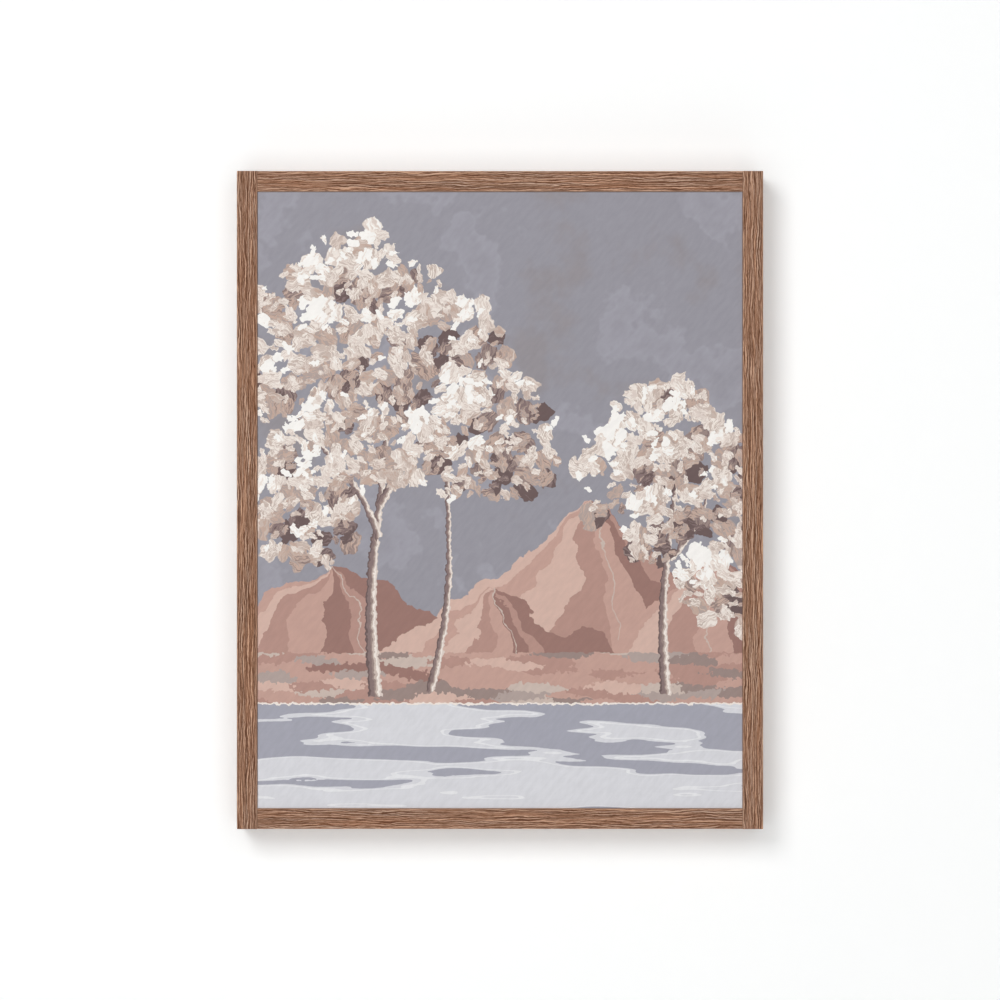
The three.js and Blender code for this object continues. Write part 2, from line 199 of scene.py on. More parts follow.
class Nodes:
    """A node tree, with one short call for each kind of node that the materials here use."""

    def __init__(self, tree):
        self.tree = tree
        self.tones = bpy.context.scene.picture_colours

    def put(self, socket, value):
        """Links an output to an input, or sets the input's own value."""
        if isinstance(value, Field):
            self.tree.links.new(value.socket, socket)
        elif socket.type == "RGBA" and len(value) == 3:
            socket.default_value = (*value, 1.0)
        else:
            socket.default_value = value

    def add(self, kind, inputs=None, **settings):
        node = self.tree.nodes.new(kind)
        for name, value in settings.items():
            setattr(node, name, value)
        for key, value in (inputs or {}).items():
            self.put(node.inputs[key], value)
        return node

    def made(self, kind, inputs=None, **settings):
        """Adds a node and gives its outputs, by their names in lower case."""
        outputs = self.add(kind, inputs, **settings).outputs
        return SimpleNamespace(**{s.name.lower().replace(" ", "_"): Field(self, s) for s in outputs})

    def reckon(self, operation, first, second):
        """Works out two numbers or two vectors, or scales a vector by a number."""
        if is_vector(first) == is_vector(second):
            work = self.vector if is_vector(first) else self.math
            return work(operation, first, second)
        vector, factor = (first, second) if is_vector(first) else (second, first)
        values = {"Vector": vector, "Scale": factor}
        return self.made("ShaderNodeVectorMath", values, operation="SCALE").vector

    def math(self, operation, *values, clamp=False):
        settings = {"operation": operation, "use_clamp": clamp}
        return self.made("ShaderNodeMath", dict(enumerate(values)), **settings).value

    def vector(self, operation, *values):
        result = self.made("ShaderNodeVectorMath", dict(enumerate(values)), operation=operation)
        return result.value if operation in ("LENGTH", "DOT_PRODUCT") else result.vector

    def split(self, vector):
        parts = self.made("ShaderNodeSeparateXYZ", {"Vector": vector})
        return parts.x, parts.y, parts.z

    def joined(self, x, y, z):
        return self.made("ShaderNodeCombineXYZ", {"X": x, "Y": y, "Z": z}).vector

    def turned(self, vector, angle):
        values = {"Vector": vector, "Angle": angle}
        return self.made("ShaderNodeVectorRotate", values, rotation_type="Z_AXIS").vector

    def span(self, value, low, high, start=0.0, end=1.0, smooth=False):
        """Maps a value from low..high to start..end, held at both ends."""
        values = {"Value": value, "From Min": low, "From Max": high, "To Min": start, "To Max": end}
        kind = "SMOOTHSTEP" if smooth else "LINEAR"
        return self.made("ShaderNodeMapRange", values, interpolation_type=kind).result

    def mix(self, factor, first, second, blend="MIX"):
        """Mixes two colours."""
        values = {"Factor": factor, 6: first, 7: second}
        node = self.add("ShaderNodeMix", values, data_type="RGBA", blend_type=blend)
        return Field(self, node.outputs[2])

    def blend(self, factor, first, second):
        """Mixes two values."""
        node = self.add("ShaderNodeMix", {0: factor, 2: first, 3: second}, data_type="FLOAT")
        return Field(self, node.outputs[0])

    def shaded(self, tone, shade):
        """Multiplies a colour by a value."""
        return self.mix(1.0, tone, self.joined(shade, shade, shade), "MULTIPLY")

    def ramp(self, factor, stops, interpolation="LINEAR"):
        """Colours along a scale. The stops are the names of tones, by their places."""
        node = self.add("ShaderNodeValToRGB", {"Fac": factor})
        node.color_ramp.interpolation = interpolation
        elements = node.color_ramp.elements
        while len(elements) < len(stops):
            elements.new(1.0)
        for element, (position, name) in zip(elements, stops.items()):
            element.position = position
            element.color = (*getattr(self.tones, name), 1.0)
        return Field(self, node.outputs["Color"])

    def paints(self, factor, names):
        """Flat bands of paint with equal shares of the way from 0 to 1."""
        names = names.split()
        return self.ramp(factor, {i / len(names): name for i, name in enumerate(names)}, "CONSTANT")

    def noise(self, vector, scale=1.0, detail=2.0, roughness=0.5, distortion=0.0, flat=False):
        values = {"Vector": vector, "Scale": scale, "Detail": detail}
        values.update({"Roughness": roughness, "Distortion": distortion})
        return self.made("ShaderNodeTexNoise", values, noise_dimensions="2D" if flat else "3D")

    def cells(self, vector):
        return self.made("ShaderNodeTexVoronoi", {"Vector": vector, "Scale": 1.0}, voronoi_dimensions="2D")

    def bump(self, height, distance, strength):
        values = {"Height": height, "Distance": distance, "Strength": strength}
        return self.made("ShaderNodeBump", values).normal


def titled(build):
    """A function's name as a title."""
    return build.__name__.replace("_", " ").capitalize()


VALUE, VECTOR, COLOUR = "NodeSocketFloat", "NodeSocketVector", "NodeSocketColor"


def shader_group(**outputs):
    """Turns a function into a shader node group of its name, which it fills when first placed.

    Its annotations are the group's inputs, and it returns the outputs in order. Each call places the group.
    """

    def turn(build):
        name = titled(build)

        def tree():
            if name in bpy.data.node_groups:
                return bpy.data.node_groups[name]
            made = bpy.data.node_groups.new(name, "ShaderNodeTree")
            for way, sockets in (("INPUT", build.__annotations__), ("OUTPUT", outputs)):
                for label, kind in sockets.items():
                    made.interface.new_socket(name=label.capitalize(), in_out=way, socket_type=kind)
            nodes = Nodes(made)
            inputs = nodes.made("NodeGroupInput")
            results = build(nodes, **{label: getattr(inputs, label) for label in build.__annotations__})
            nodes.add("NodeGroupOutput", dict(enumerate(results)))
            return made

        def place(nodes, **values):
            inputs = {label.capitalize(): value for label, value in values.items()}
            return nodes.made("ShaderNodeGroup", inputs, node_tree=tree())

        return place

    return turn


def material(build, mark="", clear_behind=False, **settings):
    """Makes a material once, named after the function that gives its shader's inputs."""
    name = f"{titled(build)} {mark}".strip()
    if name in bpy.data.materials:
        return bpy.data.materials[name]
    made = bpy.data.materials.new(name)
    made.use_nodes = True
    made.node_tree.nodes.clear()
    nodes = Nodes(made.node_tree)
    surface = nodes.made("ShaderNodeBsdfPrincipled", build(nodes, **settings)).bsdf
    if clear_behind:
        behind = nodes.made("ShaderNodeNewGeometry").backfacing
        clear = nodes.made("ShaderNodeBsdfTransparent").bsdf
        surface = nodes.made("ShaderNodeMixShader", {0: behind, 1: surface, 2: clear}).shader
    nodes.add("ShaderNodeOutputMaterial", {"Surface": surface})
    return made


def millimetres(nodes):
    """The place on the object, in millimetres."""
    return nodes.made("ShaderNodeTexCoord").object * (1 / MM)


# Wood

# Streaks of the grain in millimetres: their width, their reach and how far they sway. Relief gives each pale
# streak a dark one beside it, and pores darken the open grain.
STAINED_GRAIN = {"width": 0.4, "reach": 10.0, "sway": 4.2, "relief": 1.0, "pores": 0.5}
PINE_GRAIN = {"width": 3.2, "reach": 110.0, "sway": 5.0, "relief": 0.0, "pores": 0.08}
# Paling where an arris turns from front or back to a side: part stain worn thin, part painted highlight.
ARRIS_WEAR_AND_HIGHLIGHT = 3.4


@shader_group(color=COLOUR, height=VALUE, dull=VALUE)
def wood_grain(
    nodes,
    vector: VECTOR,
    width: VALUE,
    reach: VALUE,
    sway: VALUE,
    relief: VALUE,
    pores: VALUE,
    dark: COLOUR,
    middle: COLOUR,
    light: COLOUR,
):
    """Fine grain along X. Its streaks lie side by side over Y plus Z, so they carry on round the arrises."""
    x, y, z = nodes.split(vector)
    slow = nodes.joined(x / (reach * 2.2), y, z)
    wander = (nodes.noise(slow * (1.0, 0.1, 0.1), detail=4.0).fac - 0.5) * sway
    across = (y + z + wander) / width
    deep = (y - z) * 0.1 / width
    grained = nodes.joined(x / reach, across, deep)
    here = nodes.noise(grained, scale=0.5, detail=1.0, distortion=0.2).fac
    beside = nodes.noise(grained + (0.0, 1.3, 0.0), scale=0.5, detail=1.0, distortion=0.2).fac
    bands = nodes.noise(grained * (0.03, 0.45, 0.45)).fac
    calm = nodes.noise(grained * (0.2, 0.15, 0.15), detail=1.0).fac
    winding = nodes.noise(grained * (0.12, 0.24, 0.24), detail=1.0).fac
    pits = nodes.noise(grained * (2.5, 1.7, 1.7), detail=1.0).fac
    streak = (here - nodes.blend(relief, 0.5, beside)) * nodes.span(calm, 0.35, 0.65, 1.5, 0.3)
    tone = nodes.span(streak, -0.15, 0.15) + nodes.span(bands, 0.3, 0.7, -0.26, 0.26)
    crack = nodes.span(abs(winding - 0.5), 0.0, 0.03, 1.0, 0.0) * nodes.span(bands, 0.44, 0.52)
    opened = nodes.math("MAXIMUM", crack, nodes.span(pits, 0.57, 0.66, smooth=True))
    tone = nodes.math("SUBTRACT", tone, opened * pores, clamp=True)
    low = nodes.mix(nodes.span(tone, 0.0, 0.5), dark, middle)
    made = nodes.mix(nodes.span(tone, 0.5, 1.0), low, light)
    redder = nodes.reckon("MULTIPLY", (0.35, 0.0, -0.35), winding - 0.5) + (1.0, 1.0, 1.0)
    return made * redder, tone, nodes.span(tone, 0.0, 1.0, 1.0, 0.0)


def board_grain(nodes, upright, shift, streaks, dark, middle, light):
    """The grain of an upright or level board, shifted in millimetres so that each board is its own."""
    x, y, z = nodes.split(millimetres(nodes))
    turned = nodes.joined(z, x, y) if upright else nodes.joined(x, z, y)
    return wood_grain(nodes, vector=turned + shift, dark=dark, middle=middle, light=light, **streaks)


def frame_wood(nodes, upright, shift):
    """Walnut-brown stain over an open grain, with arrises worn thin and given a painted highlight."""
    tones = nodes.tones
    paints = (tones.wood_dark, tones.wood, tones.wood_light)
    grain = board_grain(nodes, upright, shift, STAINED_GRAIN, *paints)
    facing = abs(nodes.split(nodes.made("ShaderNodeNewGeometry").normal)[1])
    # Paler on every arris: stain worn thin, and a painted highlight along the edge.
    worn_and_highlit = facing * (1.0 - facing) * ARRIS_WEAR_AND_HIGHLIGHT
    return {
        "Base Color": nodes.mix(worn_and_highlit, grain.color, tones.wood_light),
        "Roughness": nodes.span(grain.dull, 0.0, 1.0, 0.55, 0.75),
        "Specular IOR Level": 0.3,
        "Normal": nodes.bump(grain.height, 0.16 * MM, strength=0.5),
    }


def pine(nodes, upright, shift):
    """Bare planed pine."""
    tones = nodes.tones
    grain = board_grain(nodes, upright, shift, PINE_GRAIN, tones.pine_dark, tones.pine, tones.pine)
    return {
        "Base Color": grain.color,
        "Roughness": nodes.span(grain.dull, 0.0, 1.0, 0.62, 0.78),
        "Normal": nodes.bump(grain.height, 0.08 * MM, strength=0.5),
    }


# Cloth


@shader_group(height=VALUE, lumps=VALUE)
def cloth_weave(nodes, vector: VECTOR):
    """Plain weave: threads over and under each other, with slubs. The vector is in thread pitches."""
    x, y, _ = nodes.split(vector)
    slub = nodes.noise(vector * (0.5, 0.04, 0.5), detail=1.0).fac
    slub_across = nodes.noise(vector * (0.04, 0.5, 0.5), detail=1.0).fac
    warp, weft = (nodes.math("SINE", nodes.math("FRACT", part) * math.pi) for part in (x, y))
    over = nodes.math("PINGPONG", nodes.math("FLOOR", x) + nodes.math("FLOOR", y), 1.0)
    warp_up = warp * nodes.span(weft, 0.0, 1.0, 0.55, 1.0)
    weft_up = weft * nodes.span(warp, 0.0, 1.0, 0.55, 1.0)
    lumps = (slub + slub_across) * 0.5
    return nodes.blend(over, warp_up, weft_up) + lumps, lumps


def cloth_place(nodes):
    """The place on the cloth in the picture's plane, in millimetres from the picture's middle."""
    x, _, z = nodes.split(millimetres(nodes))
    return nodes.joined(x, z - MIDDLE.z / MM, 0.0)


def threads(nodes, place):
    pitch = bpy.context.scene.picture_sizes.weave / MM
    return cloth_weave(nodes, vector=place * (1 / pitch))


# Print: a generic lakeside, with trees in blossom before faceted hills, laid down in flat dabs of paint.
# Its places are in millimetres from the picture's middle, as (x, z).

# Clumps of blossom as (x, z, half width, half height).
CROWNS = (
    (-104, 118, 104, 88),
    (-22, 52, 64, 52),
    (-152, 12, 50, 58),
    (132, 20, 66, 60),
    (176, -62, 46, 36),
)
# Boughs as (foot x, foot z, top x, top z, width at the foot, bend).
BOUGHS = (
    (-96, -152, -92, 60, 11.0, 5.0),
    (-93, -30, -152, 66, 6.0, -5.0),
    (-92, -4, -18, 92, 6.5, 6.0),
    (-54, -148, -34, 48, 7.0, -6.0),
    (128, -150, 134, 40, 8.5, 4.0),
    (131, -46, 172, 22, 5.0, -4.0),
)
# Hills as (peak x, peak z, slope, ridge's lean, shift of its tones), the farthest first.
HILLS = (
    (70, 2, 0.78, 0.2, 0.0),
    (-128, -46, 0.6, 0.35, 0.22),
    (168, -44, 0.8, -0.15, 0.12),
    (-4, -70, 0.5, 0.3, 0.08),
)
# Layers of dabs by their pitch in millimetres, the first at the bottom. The shape is in pitches.
DAB_LAYERS = {
    15.0: {"shape": (0.66, 0.55, 1.0), "tear": 0.4, "light": 0.36, "cover": 1.0},
    11.5: {"shape": (0.64, 0.36, 1.0), "tear": 0.4, "light": 0.54, "cover": 0.9},
    7.5: {"shape": (0.66, 0.3, 1.0), "tear": 0.5, "light": 0.68, "cover": 0.6},
}
BLOSSOM = "plum mauve umber peach taupe peach sand beige cream sand cream beige cream white white"
HILL_FACES = "clay_light clay clay_light clay_mid clay clay_dark clay_mid clay_dark"
BARK = "plum mauve mauve umber sand cream beige"
BANK = "clay_dark clay_mid clay umber clay clay_light taupe clay_mid sand"
HILL_FOOT = -118.0
SHORE = -158.0
SHORE_LINE = 1.4
CLUMP_PITCH = 38.0
LIGHT_FROM = (-0.6, 0.8, 0.0)
HALF = (0.5, 0.5, 0.5)


@shader_group(leafy=VALUE, lit=VALUE)
def crowns(nodes, vector: VECTOR):
    """How deep a place lies in the blossom, and how far it faces the light."""
    leafy = -1.0
    lit = 0.0
    for middle_x, middle_z, half_width, half_height in CROWNS:
        away = (vector - (middle_x, middle_z, 0.0)) / (half_width, half_height, 1.0)
        inside = 1.0 - nodes.vector("LENGTH", away)
        lit = nodes.blend(inside > leafy, lit, nodes.vector("DOT_PRODUCT", away, LIGHT_FROM))
        leafy = nodes.math("MAXIMUM", inside, leafy)
    return leafy, lit


@shader_group(color=COLOUR, mask=VALUE)
def blossom_dabs(
    nodes,
    vector: VECTOR,
    fineness: VECTOR,
    shift: VECTOR,
    shape: VECTOR,
    tear: VALUE,
    light: VALUE,
    cover: VALUE,
):
    """One layer of dabs of blossom. Each dab is of one paint, chosen by how the light falls on its middle."""
    unit = vector * fineness + shift
    torn = unit + (nodes.noise(unit, scale=2.6, detail=1.5, flat=True).color - HALF) * tear
    found = nodes.cells(torn)
    chance, turn, size = nodes.split(found.color)
    centre = (found.position - shift) / fineness
    in_clumps = centre * (1 / CLUMP_PITCH)
    clump = nodes.cells(in_clumps)
    outward = in_clumps - clump.position
    out_x, out_z, _ = nodes.split(outward)
    angle = nodes.math("ARCTAN2", out_z, out_x) + (turn - 0.5) * 1.5
    rotated = nodes.turned(torn - found.position, angle)
    across, along, _ = nodes.split(rotated / shape)
    reach = (abs(across) ** 3.0 + abs(along) ** 3.0) ** (1 / 3)
    edge = nodes.span(size, 0.0, 1.0, 0.7, 1.1) - reach
    crown = crowns(nodes, vector=centre)
    ragged = (nodes.split(clump.color)[0] - 0.55) * 0.5 + (chance - 0.5) * 0.2
    leafy = crown.leafy + ragged > 0.0
    laid = nodes.math("FRACT", size * 7.31) < cover
    facing = nodes.vector("DOT_PRODUCT", outward, LIGHT_FROM) * 0.62
    lit = nodes.math("MULTIPLY_ADD", crown.lit, 0.26, facing) + nodes.span(chance, 0.0, 1.0, -0.2, 0.2)
    hairs = nodes.noise(rotated * (1.3, 9.0, 1.0) + found.position, detail=1.0, flat=True).fac
    lit = nodes.math("MULTIPLY_ADD", hairs - 0.5, 0.34, lit) + light
    return nodes.paints(lit, BLOSSOM), nodes.span(edge, 0.0, 0.05, smooth=True) * (leafy * laid)


@shader_group(color=COLOUR, mask=VALUE)
def faceted_hill(nodes, vector: VECTOR, peak: VECTOR, slope: VALUE, ridge: VALUE, shift: VALUE):
    """A hill with faces that fan out from its peak, lighter towards the light, and a pale ridge line."""
    x, z, _ = nodes.split(vector - peak)
    drop = z * -1.0
    faces = nodes.paints(nodes.span(x / drop, -1.4, 1.6) + shift, HILL_FACES)
    line = abs(x - drop * ridge) < 0.5
    return nodes.mix(line, faces, nodes.tones.sand), abs(x) * slope < drop


@shader_group(color=COLOUR, mask=VALUE)
def bough(nodes, vector: VECTOR, foot: VECTOR, way: VECTOR, reach: VALUE, width: VALUE, bend: VALUE):
    """A bough that tapers and bends, light on the side towards the light."""
    away = vector - foot
    along = nodes.vector("DOT_PRODUCT", away, way) / reach
    side = nodes.vector("DOT_PRODUCT", nodes.vector("CROSS_PRODUCT", away, way), (0.0, 0.0, 1.0))
    side = side + nodes.math("SINE", along * 4.5) * bend
    beside = side / (width * nodes.span(along, 0.0, 1.0, 0.5, 0.16))
    inside = (abs(beside) < 1.0) * (abs(along - 0.5) < 0.5)
    return nodes.paints(nodes.span(beside, -1.0, 1.0), BARK), inside


def painted_sky(nodes, place):
    """Flat mauve-grey, scumbled with a little of its neighbours."""
    broad = nodes.noise(place, scale=0.014, detail=4.0, roughness=0.6, flat=True).fac
    return nodes.ramp(broad, {0.3: "sky_warm", 0.42: "sky", 0.56: "sky", 0.6: "sky_light", 0.75: "sky"})


def painted_bank(nodes, place, rag):
    """Long strokes of clay and taupe."""
    strokes = nodes.cells(place * (0.03, 0.15, 1.0) + rag * 0.5)
    return nodes.paints(nodes.split(strokes.color)[0], BANK)


def painted_water(nodes, place, below):
    """Pale still water, with grey-blue reflections that thin out away from the shore."""
    streaks = nodes.noise(place * (0.008, 0.075, 1.0), roughness=0.4, flat=True).fac
    stops = {0.0: "water", 0.36: "water_light", 0.385: "water", 0.42: "water_shade"}
    return nodes.ramp(streaks - below * 0.003, stops, "CONSTANT")


def printed_canvas(nodes):
    """The print, on canvas whose weave shows through, with painted shade where the weave lies low."""
    place = cloth_place(nodes)
    rag = nodes.noise(place, scale=0.22, flat=True).color - HALF
    ragged = place + rag * 4.0
    roll = nodes.noise(place, scale=0.022, flat=True).color - HALF
    rolling = ragged + roll * 34.0
    z = nodes.split(ragged)[1]
    made = painted_sky(nodes, place)
    for peak_x, peak_z, slope, ridge, shift in HILLS:
        peak = (peak_x, peak_z, 0.0)
        hill = faceted_hill(nodes, vector=rolling, peak=peak, slope=slope, ridge=ridge, shift=shift)
        made = nodes.mix(hill.mask, made, hill.color)
    made = nodes.mix(z < HILL_FOOT, made, painted_bank(nodes, ragged, rag))
    below = SHORE - z
    made = nodes.mix(below > -SHORE_LINE, made, nodes.tones.cream)
    made = nodes.mix(below > 0.0, made, painted_water(nodes, place, below))
    for foot_x, foot_z, top_x, top_z, width, bend in BOUGHS:
        foot = (foot_x, foot_z, 0.0)
        run = Vector((top_x, top_z, 0.0)) - Vector(foot)
        shape = {"way": tuple(run.normalized()), "reach": run.length, "width": width, "bend": bend}
        limb = bough(nodes, vector=ragged, foot=foot, **shape)
        made = nodes.mix(limb.mask, made, limb.color)
    for i, (pitch, layer) in enumerate(DAB_LAYERS.items()):
        shift = (5.3 + 11.3 * i, 9.1 - 7.9 * i, 0.0)
        dabs = blossom_dabs(nodes, vector=place, fineness=(1 / pitch,) * 3, shift=shift, **layer)
        made = nodes.mix(dabs.mask, made, dabs.color)
    dry = nodes.noise(nodes.turned(place, 0.7) * (0.3, 0.09, 1.0), detail=3.0, flat=True).fac
    woven = threads(nodes, place)
    # The dry-brush scumble of the paint, times painted shade that darkens the print where the weave lies low.
    shade = nodes.span(dry, 0.25, 0.75, 0.96, 1.04) * nodes.span(woven.height, 0.0, 1.6, 0.93, 1.05)
    return {
        "Base Color": nodes.shaded(made, shade),
        "Roughness": nodes.span(woven.lumps, 0.3, 0.7, 0.66, 0.78),
        "Normal": nodes.bump(woven.height, 0.12 * MM, strength=0.5),
    }


def bare_canvas(nodes):
    """Unprinted cotton canvas: the flange and the back, with painted shade where the weave lies low."""
    woven = threads(nodes, cloth_place(nodes))
    return {
        # Painted shade: the cotton is darkened where the weave lies low.
        "Base Color": nodes.shaded(nodes.tones.canvas_back, nodes.span(woven.height, 0.0, 1.6, 0.82, 1.04)),
        "Roughness": nodes.span(woven.lumps, 0.3, 0.7, 0.82, 0.95),
        "Normal": nodes.bump(woven.height, 0.15 * MM, strength=0.6),
    }


# Metal and rubber


@shader_group(smudge=VALUE, scratch=VALUE)
def fine_wear(nodes, vector: VECTOR):
    """Smudges and fine scratches. The vector is in millimetres."""
    smudge = nodes.noise(vector, scale=0.25, detail=3.0).fac
    lines = nodes.noise(vector * (0.25, 4.0, 4.0)).fac
    return smudge, nodes.span(lines, 0.35, 0.65)


def zinc_plate(nodes):
    """Bright zinc plate on stamped steel."""
    worn = fine_wear(nodes, vector=millimetres(nodes))
    return {
        "Base Color": nodes.shaded(nodes.tones.zinc, nodes.span(worn.smudge, 0.3, 0.7, 0.86, 1.05)),
        "Metallic": 1.0,
        "Roughness": nodes.span(worn.smudge, 0.3, 0.7, 0.24, 0.42),
        "Normal": nodes.bump(worn.scratch, 0.02 * MM, strength=0.4),
    }


def black_rubber(nodes):
    """Soft black rubber."""
    worn = fine_wear(nodes, vector=millimetres(nodes))
    return {
        "Base Color": nodes.shaded(nodes.tones.rubber, nodes.span(worn.smudge, 0.3, 0.7, 0.8, 1.3)),
        "Roughness": nodes.span(worn.smudge, 0.3, 0.7, 0.6, 0.8),
        "Normal": nodes.bump(worn.smudge, 0.05 * MM, strength=0.3),
    }


# Meshes

BEVEL_ANGLE = 35


def solid(name, mesh, looks=(), sharp=None):
    """Makes an object of a bmesh and frees it. An angle in degrees smooths it, but for sharper edges."""
    data = bpy.data.meshes.new(name)
    mesh.to_mesh(data)
    mesh.free()
    if sharp is not None:
        for face in data.polygons:
            face.use_smooth = True
        data.set_sharp_from_angle(angle=math.radians(sharp))
    for look in looks:
        data.materials.append(look)
    made = bpy.data.objects.new(name, data)
    bpy.context.scene.collection.objects.link(made)
    return made


def seat(piece, nodes):
    """Makes a piece ride on the body and stand for the nodes it replaces, which it hides."""
    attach(piece, "root")
    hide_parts(*nodes)


def dress(node, look, edge):
    """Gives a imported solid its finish, with its edges rounded."""
    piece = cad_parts[node]
    piece.data.materials.clear()
    piece.data.materials.append(look)
    bevel = piece.modifiers.new("Rounded edges", "BEVEL")
    bevel.width = edge
    bevel.segments = 3
    bevel.limit_method = "ANGLE"
    bevel.angle_limit = math.radians(BEVEL_ANGLE)
    bevel.harden_normals = False


def dress_steel(names):
    """Gives packed steel parts their plate and their edges."""
    for name in names:
        dress(name, material(zinc_plate), bpy.context.scene.picture_sizes.hardware_edge)


def cut(piece, tool, crossed=False):
    """Cuts a tool's shape out of a piece's own mesh. A crossed tool runs through itself."""
    holes = piece.modifiers.new("Cut", "BOOLEAN")
    holes.operation = "DIFFERENCE"
    holes.solver = "EXACT"
    holes.use_self = crossed
    holes.object = tool
    shown = piece.evaluated_get(bpy.context.evaluated_depsgraph_get())
    mesh = bpy.data.meshes.new_from_object(shown)
    piece.modifiers.clear()
    piece.data = mesh


def merged(parts):
    """Joins bmeshes into one and frees them."""
    carrier = bpy.data.meshes.new("carrier")
    total = bmesh.new()
    for part in parts:
        part.to_mesh(carrier)
        part.free()
        total.from_mesh(carrier)
    bpy.data.meshes.remove(carrier)
    return total


def seat_steel(name, parts, sharp, nodes):
    """Makes one piece of many small steel parts, which stands for their nodes."""
    seat(solid(name, merged(parts), [material(zinc_plate)], sharp), nodes)


def over_middle(low, high):
    """A move from the origin to the middle of a box, but for Y."""
    middle = (low + high) / 2
    return Matrix.Translation((middle.x, 0, middle.z))


def join_rings(mesh, first, second):
    """Bridges two rings of as many points, and gives the faces."""
    count = len(first)
    pairs = [(k, (k + 1) % count) for k in range(count)]
    return [mesh.faces.new((first[k], first[j], second[j], second[k])) for k, j in pairs]


def turned_mesh(profile, sides):
    """A body of revolution about Y, from (radius, y) points that start and end on the axis."""
    mesh = bmesh.new()
    angles = [2 * math.pi * i / sides for i in range(sides)]
    rings = []
    for radius, y in profile:
        round_it = angles if radius else [0.0]
        rings.append([mesh.verts.new((radius * math.cos(a), y, radius * math.sin(a))) for a in round_it])
    for first, second in zip(rings, rings[1:]):
        for i in range(sides):
            j = (i + 1) % sides
            corners = [first[i % len(first)], first[j % len(first)]]
            corners += [second[j % len(second)], second[i % len(second)]]
            mesh.faces.new(list(dict.fromkeys(corners)))
    bmesh.ops.recalc_face_normals(mesh, faces=mesh.faces)
    return mesh


def quarter(steps, first=0):
    """Angles of a quarter turn in equal steps, from the first step on."""
    return [i / steps * QUARTER_TURN for i in range(first, steps + 1)]


# Strips

FACE_STEPS = 12
DEPTH_STEPS = 20
CORNER_STEPS = 5
STRIP_STEP = 2.5 * MM
HOLLOW_WIDTH = 9
HOLLOW_LENGTH = 55
NICK_WIDTH = 5
NICK_LENGTH = 7
CAP_SHARE = 0.06
BRAD_CLEARANCE = 0.15 * MM
BRAD_HOLE_DEPTH = 3 * MM


def rounded_corner(middle_x, middle_y, radius, start, steps):
    """Points of a quarter turn about a middle, from an angle given in quarter turns."""
    angles = [(start + i / steps) * QUARTER_TURN for i in range(steps + 1)]
    return [(middle_x + radius * math.cos(a), middle_y + radius * math.sin(a)) for a in angles]


def strip_section(outer, sizes):
    """The outline of a strip as (outward, y, wear) points, anticlockwise from the inner back edge."""
    inner = outer - STRIP_FACE
    front = sizes.arris_radius
    back = sizes.back_arris_radius
    corners = [
        (inner + front, FRAME_FRONT + front, front, 2, sizes.arris_wear),
        (outer - front, FRAME_FRONT + front, front, 3, sizes.arris_wear),
        (outer - back, FRAME_BACK - back, back, 0, sizes.arris_wear / 2),
        (inner + back, FRAME_BACK - back, back, 1, sizes.arris_wear / 2),
    ]
    outline = []
    for i, (*corner, worn) in enumerate(corners):
        arc = rounded_corner(*corner, CORNER_STEPS)
        outline += [(*point, worn) for point in arc]
        end = rounded_corner(*corners[(i + 1) % len(corners)][:4], 1)[0]
        steps = DEPTH_STEPS if i % 2 else FACE_STEPS
        for share in (k / steps for k in range(1, steps)):
            outline.append((*(a + (b - a) * share for a, b in zip(arc[-1], end)), 0.0))
    return outline


def strip_mesh(outer, half_length, seed, sizes):
    """A strip drawn as the right-hand stile, with worn arrises and a slightly wavering planed surface."""
    outline = strip_section(outer, sizes)
    middle = Vector((outer - STRIP_FACE / 2, (FRAME_FRONT + FRAME_BACK) / 2))
    count = max(2, round(2 * half_length / STRIP_STEP))
    mesh = bmesh.new()
    rings = []
    for i in range(count + 1):
        along = -half_length + 2 * half_length * i / count
        ring = []
        for x, y, worn in outline:
            spot = Vector((x, y, along)) / MM
            where = Vector((spot.x / HOLLOW_WIDTH + seed, spot.y / HOLLOW_WIDTH, spot.z / HOLLOW_LENGTH))
            hollow = noise.noise(where) * 0.5 + 0.5
            where = Vector((spot.x / NICK_WIDTH, spot.y / NICK_WIDTH + seed, spot.z / NICK_LENGTH))
            nick = max(0.0, noise.noise(where))
            inward = (middle - Vector((x, y))).normalized()
            moved = Vector((x, y)) + inward * (sizes.strip_waver * hollow + worn * nick)
            ring.append(mesh.verts.new((moved.x, moved.y, along)))
        rings.append(ring)
    for first, second in zip(rings, rings[1:]):
        join_rings(mesh, first, second)
    mesh.faces.new(list(reversed(rings[0])))
    mesh.faces.new(rings[-1])
    lay_out_strip(mesh, rings, outline, half_length)
    return mesh


def lay_out_strip(mesh, rings, outline, half_length):
    """A map for the bake: the length runs across it, the way round runs up it, the ends lie at the top."""
    layer = mesh.loops.layers.uv.new("OFBake")
    points = [Vector(point[:2]) for point in outline]
    low = Vector((min(p.x for p in points), min(p.y for p in points)))
    round_it = [0.0]
    for point, after in zip(points, points[1:] + points[:1]):
        round_it.append(round_it[-1] + (after - point).length)
    where = {vertex: (i, k) for i, ring in enumerate(rings) for k, vertex in enumerate(ring)}
    for face in mesh.faces:
        ends = {where[corner.vert][0] for corner in face.loops}
        if len(ends) == 1:
            side = 0.0 if ends == {0} else 0.5
            for corner in face.loops:
                spot = corner.vert.co.xy - low
                across = side + spot.y / (2 * half_length) + 0.01
                corner[layer].uv = (across, 1 - CAP_SHARE * (0.9 - 0.8 * spot.x / STRIP_FACE))
            continue
        places = [where[corner.vert][1] for corner in face.loops]
        wraps = max(places) == len(points) - 1 and 0 in places
        for corner in face.loops:
            i, k = where[corner.vert]
            k = len(points) if wraps and k == 0 else k
            up = round_it[k] / round_it[-1] * (1 - 1.2 * CAP_SHARE)
            corner[layer].uv = (i / (len(rings) - 1), up)


